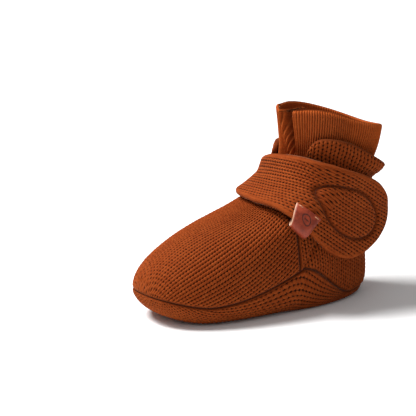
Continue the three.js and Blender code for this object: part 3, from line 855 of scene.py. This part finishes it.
def cuff_fold(angle, z):
    """How far the cuff stands off its section: a deep fold at the front, steep behind its near lip
    and slow towards the far side, that dies out downward, and a slow swell."""
    turn = np.degrees(half_turn(angle))
    open_up = ease(60, 88, z)
    steep = ease(17, 13, turn)
    slow = ease(mix(5, -14, open_up), mix(10, -5, open_up), turn)
    fold = -9.5 * open_up**0.7 * steep * slow
    lip = 1.6 * open_up * bell(turn, 21, 6) + 0.8 * open_up * bell(turn, -14, 9)
    swell = 0.7 * open_up * np.sin(3 * angle + 0.6) + 0.35 * np.sin(5 * angle + z * 0.05)
    return fold + lip + swell


def cuff_place(u, v, out):
    """Up from inside the ankle to the cuff's edge, which is lowest at the heel and waves a little."""
    angle = u * 2 * math.pi
    back = (1 - np.cos(angle)) / 2
    turn = np.degrees(half_turn(angle))
    top = 90.0 - 11.0 * back**2 + 3.4 * bell(turn, 48, 42) + 0.4 * np.sin(3 * angle)
    top = top + 1.4 * bell(turn, -32, 14) - 0.6 * bell(turn, 4, 8)
    z = mix(CUFF_START, top, v)
    return surface(angle, z, out - CUFF_DEPTH + cuff_fold(angle, z))


def rib_cuff():
    """Two ribbed faces that meet in a rounded edge."""
    us = np.linspace(0, 1, RIBS_AROUND * 8, endpoint=False)
    vs = np.concatenate([np.linspace(0, 0.93, 22), np.linspace(0.93, 1, 9)[1:]])
    u, v = np.meshgrid(us, vs)
    ribs = u * RIBS_AROUND
    share = ease(1.0, 0.93, v)
    ridge = 0.32 * np.cos(2 * math.pi * (ribs - 0.5)) * mix(0.5, 1, share)
    height = (1 - v) * 27
    edge = rim(height, 1.1, 1.1)
    outer = cuff_place(u, v, ridge + edge - 0.3)
    inner = cuff_place(u, v, 0.8 * ridge - 2.2 + 0.3 - edge)
    uv = np.stack([ribs, v * 15], -1)
    angle, height = u * 2 * math.pi, cuff_place(u, v, 0 * u)[..., 2]
    # painted shade in the cuff's front fold, darker where the fold goes deeper
    deep = np.clip(-cuff_fold(angle, height) / 4 - 0.1, 0, 1)
    some_u, some_v = u[::4, ::4], v[::4, ::4]
    cut_size(cuff_place(some_u, some_v, 0 * some_u), True)
    return shell("rib_cuff_cloth", outer, inner, RIB_CLOTH, uv, mix(0.25, 1, share), deep, True)


cuff = rib_cuff()

# ---- Strap --------------------------------------------------------------------------------------

STRAP_WALL = 4.0
STRAP_RELIEF = 0.95
TAB_LIFT = 3.7
ROUND_FROM, ROUND_POWER = 0.78, 2.3  # where the end starts to round off, and how square it is
ROOT_LINE = 0.035  # place of the sewn line, as a share of the strap's length
TILT = math.radians(36)
FASTENER_Y, FASTENER_Z = 36.0, 45.0
RING_LONG, RING_SHORT = 16.4, 11.4


def strap_place(along, across):
    """Direction and height of a point of the strap; past ROUND_FROM its width falls as a half
    superellipse."""
    past = np.clip((along - ROUND_FROM) / (1 - ROUND_FROM), 0, 1)
    share = (across * np.clip(1 - past**ROUND_POWER, 0, 1) ** (1 / ROUND_POWER) + 1) / 2
    low_angle, low = through(STATIONS, 1, along), through(STATIONS, 2, along)
    high_angle, high = through(STATIONS, 3, along), through(STATIONS, 4, along)
    return np.radians(mix(low_angle, high_angle, share)), mix(low, high, share) * ANKLE_HEIGHT


def strap_lift(along):
    """Height of the strap's inner face over the boot: more where the fastener lies under it."""
    return mix(0.3, TAB_LIFT, ease(0.3, 0.6, along))


def strap_point(along, across, out):
    """A point on the strap, out from its inner face."""
    angle, height = strap_place(along, across)
    return surface(angle, height, strap_lift(along) + out, TAB_STANDOFF)


def oval(point):
    """How far out a place is on the ring of stitches: 1 on it, 0 in its middle."""
    y, z = point[..., 1] - FASTENER_Y, point[..., 2] - FASTENER_Z
    p = y * math.cos(TILT) - z * math.sin(TILT)
    q = y * math.sin(TILT) + z * math.cos(TILT)
    return np.hypot(p / RING_LONG, q / RING_SHORT)


def strap_run(steps, round_steps, end=1.0):
    """Stations along the strap: even up to where it rounds off, then by the sine of an even turn."""
    turn = np.linspace(0, math.pi / 2 * end, round_steps + 1)[1:]
    rounded = ROUND_FROM + (1 - ROUND_FROM) * np.sin(turn)
    return np.concatenate([np.linspace(0, ROUND_FROM, steps), rounded])


def strap_cloth():
    """The strap's knit: stitches along it, a rounded rim, an oval line of stitching pressed in round a
    slightly raised middle, a sewn line pressed in at the root and a small fold where it bends over the
    ankle. Painted shade darkens the oval line and the rim."""
    along, across = np.meshgrid(strap_run(241, 80, 0.995), np.linspace(-1, 1, 97))
    angle, height = strap_place(along, across)
    base_point = outline(angle, height, TAB_STANDOFF)
    halfway = strap_point(along, across, STRAP_WALL / 2 + 0 * along)
    run, width = arc_along(halfway, 1), arc_along(halfway, 0)
    middle = len(along) // 2
    p = width - width[middle]
    q = run[middle] + 0.08 * p
    y, z = base_point[..., 1] - FASTENER_Y, base_point[..., 2] - FASTENER_Z
    flat = ease(0.5, 0.68, along)
    meet = np.argmin(np.abs(along[0] - 0.6))
    straight = y * math.sin(TILT) + z * math.cos(TILT)
    forward = y * math.cos(TILT) - z * math.sin(TILT)
    p = mix(p, straight - straight[middle, meet], flat)
    q = mix(q, forward - forward[middle, meet] + q[middle, meet], flat)
    near = np.minimum(np.minimum(width, width[-1:] - width), run)
    share = ease(1.0, 2.6, near)
    ring = oval(base_point)
    groove = (ring - 1) * 13.5
    # how far the oval line and the root line sink into the cloth: shape, not colour
    sunk = -1.5 * bell(groove, 0, 0.95) + 0.5 * ease(0.5, -2.5, groove) * (along > 0.5)
    share = share * (1 - 0.6 * bell(groove, 0, 0.7))
    bend = bell(along, 0.2, 0.17)
    rise = (across + 1) / 2
    crease = bend * (-1.1 * bell(rise, 0.56, 0.12) + 0.5 * bell(rise, 0.28, 0.16))
    crease = crease - 0.4 * bell(along, 0.33, 0.09) * bell(rise, 0.72, 0.05)
    relief = (knit(p + 30 * WALE, q) - 1) * STRAP_RELIEF * share
    edge = rim(near, 1.4, 1.35)
    sunk = sunk - 0.9 * bell(along, ROOT_LINE, 0.007)
    outer = strap_point(along, across, STRAP_WALL + relief + edge + sunk + crease)
    inner = strap_point(along, across, np.minimum(1.3, 3.3 + crease + 0.3 * sunk) - edge)
    cut_size(halfway)
    uv = np.stack([p / WALE + 30, q / COURSE], -1)
    # painted shade in the oval line of stitching and along the strap's rim
    dark = np.maximum(0.9 * bell(groove, 0, 0.8) * (along > 0.5), 0.5 * ease(0.8, 0.0, near))
    return shell("strap_cloth", outer, inner, KNIT_CLOTH, uv, share, dark)


def strap_facing():
    """The smooth cloth on the strap's inner side."""
    along, across = np.meshgrid(strap_run(61, 24, 0.97), np.linspace(-0.94, 0.94, 31))
    near = np.minimum(1 - np.abs(across), 0.06) / 0.06
    outer = strap_point(along, across, 0.85 + 0 * near)
    cut_size(outer)
    inner = strap_point(along, across, 0.1 * (1 - near) + 0.05 * waves(along * 30, across * 6, 3))
    uv = np.stack([along, across], -1)
    return shell("strap_facing_cloth", outer, inner, FACING_CLOTH, uv, 0 * along)


strap = strap_cloth()
facing = strap_facing()


def fastener_point(turn, size, out, standoff):
    """A point on an oval about the middle of the fastener, on the boot or on the strap."""
    p, q = size[0] * np.cos(turn), size[1] * np.sin(turn)
    y = FASTENER_Y + p * math.cos(TILT) + q * math.sin(TILT)
    z = FASTENER_Z - p * math.sin(TILT) + q * math.cos(TILT)
    return surface(angle_at_y(y, z, standoff), z, out, standoff)


def fastener_patch(name, low, high, standoff, material, rough):
    """An oval tape patch with a rough face: rings of points from its middle out, over its edge and
    back."""
    turn = turns_of(120)
    share = np.concatenate([np.linspace(0.002, 1, 40), np.linspace(1, 0.002, 16)])
    face = np.arange(56) < 40
    turns, shares = np.meshgrid(turn, share)
    rng = np.random.RandomState(11)
    out = np.where(face[:, None], high, low) + 0 * turns
    out = out + np.where(face[:, None] & (shares < 0.97), rng.uniform(-rough, 0, turns.shape), 0)
    points = fastener_point(turns, (13 * shares, 8 * shares), out, standoff)
    return make(name, points.reshape(-1, 3), capped(*turns.shape), material)


loop_patch = fastener_patch("loop_tape_patch", 0.85, 1.75, 0.0, LOOP_TAPE, 0.35)
hook_patch = fastener_patch(
    "hook_tape_patch", TAB_LIFT - 0.35, TAB_LIFT - 1.3, TAB_STANDOFF, HOOK_TAPE, -0.3
)

# ---- Tag ----------------------------------------------------------------------------------------

TAG_FROM, TAG_TO = 0.548, 0.627
TAG_WIDE = 9.6
TAG_LENGTH, TAG_TUCK = 5.0, 6.0  # on the strap's face and behind it
FOLD_RADIUS = STRAP_WALL / 2 + 0.45
TAG_RUN = TAG_LENGTH + math.pi * FOLD_RADIUS + TAG_TUCK
TAG_THICK = 1.1
TAG_SLANT = 0.008  # how far its back side leans along the strap, in each length of its face


def edge_point(along, rise, out):
    """A point off the strap, rise millimetres up from its lower edge."""
    low_angle, low = strap_place(along, -1 + 0 * along)
    high_angle, high = strap_place(along, 1 + 0 * along)
    width = surface(low_angle, low, 0 * along) - surface(high_angle, high, 0 * along)
    width = np.linalg.norm(width, axis=-1)
    angle, height = strap_place(along, -1 + 2 * rise / width)
    return surface(angle, height, strap_lift(along) + out, TAB_STANDOFF)


def tag_point(along, run, thickness):
    """Along the tag from its outer raw edge, down, round the strap's lower edge in a half circle and
    up behind it."""
    radius = FOLD_RADIUS + thickness
    share = (along - TAG_FROM) / (TAG_TO - TAG_FROM)
    turn = np.clip((run - TAG_LENGTH) / FOLD_RADIUS, 0, math.pi)
    before = np.maximum(TAG_LENGTH - run, 0) * mix(0.8, 1.45, share)
    after = np.maximum(run - TAG_LENGTH - math.pi * FOLD_RADIUS, 0)
    rise = before + after - radius * np.sin(turn)
    slant = TAG_SLANT * share * (rise / TAG_LENGTH - 1)
    out = STRAP_WALL / 2 + radius * np.cos(turn)
    return edge_point(along + slant, rise + mix(1.2, 0.3, share), out)


def tag_piece():
    """The folded leather tag, with a pressed ring and a bar in its middle and softly rounded sides."""
    across, run = np.meshgrid(np.linspace(0, 1, 91), np.linspace(0, TAG_RUN, 191))
    x, y = (across - 0.5) * TAG_WIDE, run - 3.3
    ring = np.abs(np.hypot(x, y * 1.05) - 1.7)
    bar = np.maximum(np.abs(x) - 0.8, 0) + np.abs(y)
    pressed = np.maximum(bell(ring, 0, 0.24), bell(bar, 0, 0.24))
    border = np.minimum(np.minimum(across, 1 - across) * TAG_WIDE, np.minimum(run, TAG_RUN - run))
    face = TAG_THICK - 0.16 * pressed + rim(border, 0.45, 0.4)
    face = face + 0.12 * waves(x * 0.5, run * 0.45, 6) * ease(0, 1.5, border)
    along = mix(TAG_FROM, TAG_TO, across)
    outer = tag_point(along, run, face)
    inner = tag_point(along, run, 0.0 - rim(border, 0.3, 0.25))
    uv = np.stack([across, run / TAG_RUN], -1)
    return shell("leather_tag_fold", outer, inner, TAG_LEATHER, uv, pressed)


tag = tag_piece()


def raw_edge(share, name, material):
    """A strip of cut leather along one side of the tag."""
    run = np.linspace(0.1, TAG_RUN - 0.1, 120)
    along = np.full_like(run, mix(TAG_FROM, TAG_TO, share))
    centre = tag_point(along, run, 0.6)
    side = tag_point(along, run, 1.6) - centre
    return tube(name, centre, side, 0.42, material, 10)


raw_front = raw_edge(-0.004, "tag_raw_edge_front", RAW_LEATHER)
raw_back = raw_edge(1.004, "tag_raw_edge_back", TAG_LEATHER)


def tag_bar(start, name):
    """A short bar of thread over the tag's upper edge."""
    share = np.linspace(start, start + 0.16, 14)
    along = mix(TAG_FROM, TAG_TO, share)
    bow = 0.45 * np.sin(np.linspace(0, math.pi, 14))
    centre = tag_point(along, 0.7 + 0 * share, TAG_THICK + bow - 0.1)
    side = tag_point(along, 0.7 + 0 * share, TAG_THICK + 1 + bow) - centre
    return tube(name, centre, side, 0.26, TAG_THREAD, 8, 2.2)


bar_front = tag_bar(0.08, "tag_bar_front")
bar_back = tag_bar(0.76, "tag_bar_back")

# ---- Threads ------------------------------------------------------------------------------------

CORD_SUNK = 1.5


def seam_cord(name, point, normal, radius=0.3, closed=False):
    """A two-ply sewing cord along a seam."""
    return tube(name, point, normal, radius, SEAM_THREAD, 8, 1.6, closed)


share = np.linspace(0, 1, 420)
turn = math.pi + (0.004 + 0.992 * share) * 2 * math.pi
z = sole_seam(turn)
sole_cord = seam_cord("sole_seam_cord", surface(turn, z, -1.55 + 0 * turn), normal_at(turn, z))


def side_cord(hand, name):
    """Up the seam between the vamp and the quarter."""
    z = np.linspace(21.6, VAMP_TOP - 0.5, 120)
    angle = hand * side_seam(z)
    return seam_cord(name, surface(angle, z, 0 * z - CORD_SUNK), normal_at(angle, z))


side_cord_outer = side_cord(1, "side_seam_cord_outer")
side_cord_inner = side_cord(-1, "side_seam_cord_inner")
z = np.linspace(5.2, 61.0, 140)
turn = math.pi + 0 * z
back_cord = seam_cord("back_seam_cord", surface(turn, z, 0 * z - CORD_SUNK), normal_at(turn, z))

turn = turns_of(260)
ring_line, ring_face = (
    fastener_point(turn, (RING_LONG, RING_SHORT), TAB_LIFT + STRAP_WALL - deep + 0 * turn, TAB_STANDOFF)
    for deep in (1.75, 0)
)
ring_cord = seam_cord("fastener_ring_cord", ring_line, ring_face - ring_line, 0.24, True)

across = np.linspace(-0.85, 0.85, 60)
root_line, root_face = (
    strap_point(ROOT_LINE + 0 * across, across, STRAP_WALL - deep + 0 * across) for deep in (1.2, 0)
)
root_cord = seam_cord("strap_root_cord", root_line, root_face - root_line)

# ---- Frame --------------------------------------------------------------------------------------

for piece, body, slot, *nodes in [
    (vamp, "boot", "knit", "vamp_panel"),
    (quarter_outer, "boot", "knit", "quarter_outer"),
    (quarter_inner, "boot", "knit", "quarter_inner"),
    (sole, "boot", "knit", "sole_panel"),
    (lining_cloth, "boot", "lining", "upper_lining"),
    (pad, "boot", "foam", "insole_pad"),
    (footbed, "boot", "lining", "sole_lining"),
    (cuff, "boot", "rib_knit", "rib_cuff"),
    (loop_patch, "boot", "loop_tape", "loop_patch"),
    (sole_cord, "boot", "thread", "sole_seam_thread"),
    (side_cord_outer, "boot", "thread", "side_seam_thread_outer"),
    (side_cord_inner, "boot", "thread", "side_seam_thread_inner"),
    (back_cord, "boot", "thread", "back_seam_thread"),
    (hook_patch, "strap_tab", "hook_tape", "hook_patch"),
    (tag, "strap_tab", "leather", "leather_tag"),
    (raw_front, "strap_tab", "leather"),
    (raw_back, "strap_tab", "leather"),
    (bar_front, "strap_tab", "tag_thread", "tag_stitch_front"),
    (bar_back, "strap_tab", "tag_thread", "tag_stitch_back"),
    (ring_cord, "strap_tab", "thread", "fastener_stitch_ring"),
    (root_cord, "strap_band", "thread", "strap_root_stitch"),
]:
    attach(piece, body)
    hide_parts(*nodes)

# the line the tab would peel about, and the strap's direction across it at its middle
PEEL_AXIS = np.array([0.1109, -0.6105, -0.7842])
middle_before, middle_after = (
    strap_point(np.array(along), np.array(0.0), np.array(STRAP_WALL / 2)) for along in (0.43, 0.55)
)
toward = middle_after - middle_before
toward -= PEEL_AXIS * (toward @ PEEL_AXIS)
toward /= np.linalg.norm(toward)
for piece, slot, *nodes in [
    (strap, "knit", "strap_band", "strap_tab"),
    (facing, "lining", "strap_band_facing", "strap_tab_facing"),
]:
    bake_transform(piece)
    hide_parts(*nodes)

# ---- Camera, floor and light --------------------------------------------------------------------

AZIMUTH, ELEVATION = math.radians(57), math.radians(15.5)
VIEW_RIGHT, VIEW_UP, VIEW_FAR = -0.0199, 0.0445, 1.5
LENS, SENSOR = 272.7, 36
FLOOR_HALF, FLOOR_DROP = 8, -0.0003
right = Vector((math.cos(AZIMUTH), math.sin(AZIMUTH), 0))
level = math.cos(ELEVATION)
to_view = Vector((math.sin(AZIMUTH) * level, -math.cos(AZIMUTH) * level, math.sin(ELEVATION)))
up = to_view.cross(right)


def looking(direction, above):
    """A rotation whose local z points back along direction and whose local y is above."""
    side = above.cross(direction).normalized()
    return Matrix((side, direction.cross(side), direction)).transposed().to_4x4()


camera = placed("view", bpy.data.cameras.new("view"))
camera.matrix_world = looking(to_view, up)
camera.location = right * VIEW_RIGHT + up * VIEW_UP + to_view * VIEW_FAR
camera.data.lens = LENS
camera.data.sensor_width = SENSOR
bpy.context.scene.camera = camera

floor_mesh = bpy.data.meshes.new("floor")
corners = [(-1, -1), (1, -1), (1, 1), (-1, 1)]
corners = [(FLOOR_HALF * x, FLOOR_HALF * y, FLOOR_DROP) for x, y in corners]
floor_mesh.from_pydata(corners, [], [(0, 1, 2, 3)])
floor_paint, _, floor_shader = base("floor_paint", 0.9, 0.0, (1, 1, 1, 1), 0.0)
floor_shader.inputs["Base Color"].default_value = (0.95, 0.95, 0.95, 1)
floor_mesh.materials.append(floor_paint)
placed("floor", floor_mesh)

world = bpy.data.worlds.new("studio")
world.use_nodes = True
backdrop = world.node_tree.nodes["Background"]
backdrop.inputs["Color"].default_value = (1, 1, 1, 1)
backdrop.inputs["Strength"].default_value = 0.31
bpy.context.scene.world = world


def lamp(name, place, size, power):
    """A square soft light that faces the boot; place is metres right, up and towards the camera."""
    light = bpy.data.lights.new(name, "AREA")
    light.size, light.energy = size, power
    holder = placed(name, light)
    spot = right * place[0] + up * place[1] + to_view * place[2]
    aim = Vector((0, 0, 0.03))
    holder.matrix_world = looking((spot - aim).normalized(), Vector((0, 0, 1)))
    holder.location = spot


lamp("key", (-0.85, 1.3, 0.2), 0.65, 42)
lamp("fill", (-0.3, 0.7, 1.6), 1.0, 3.0)

bpy.context.scene.view_settings.view_transform = "Standard"
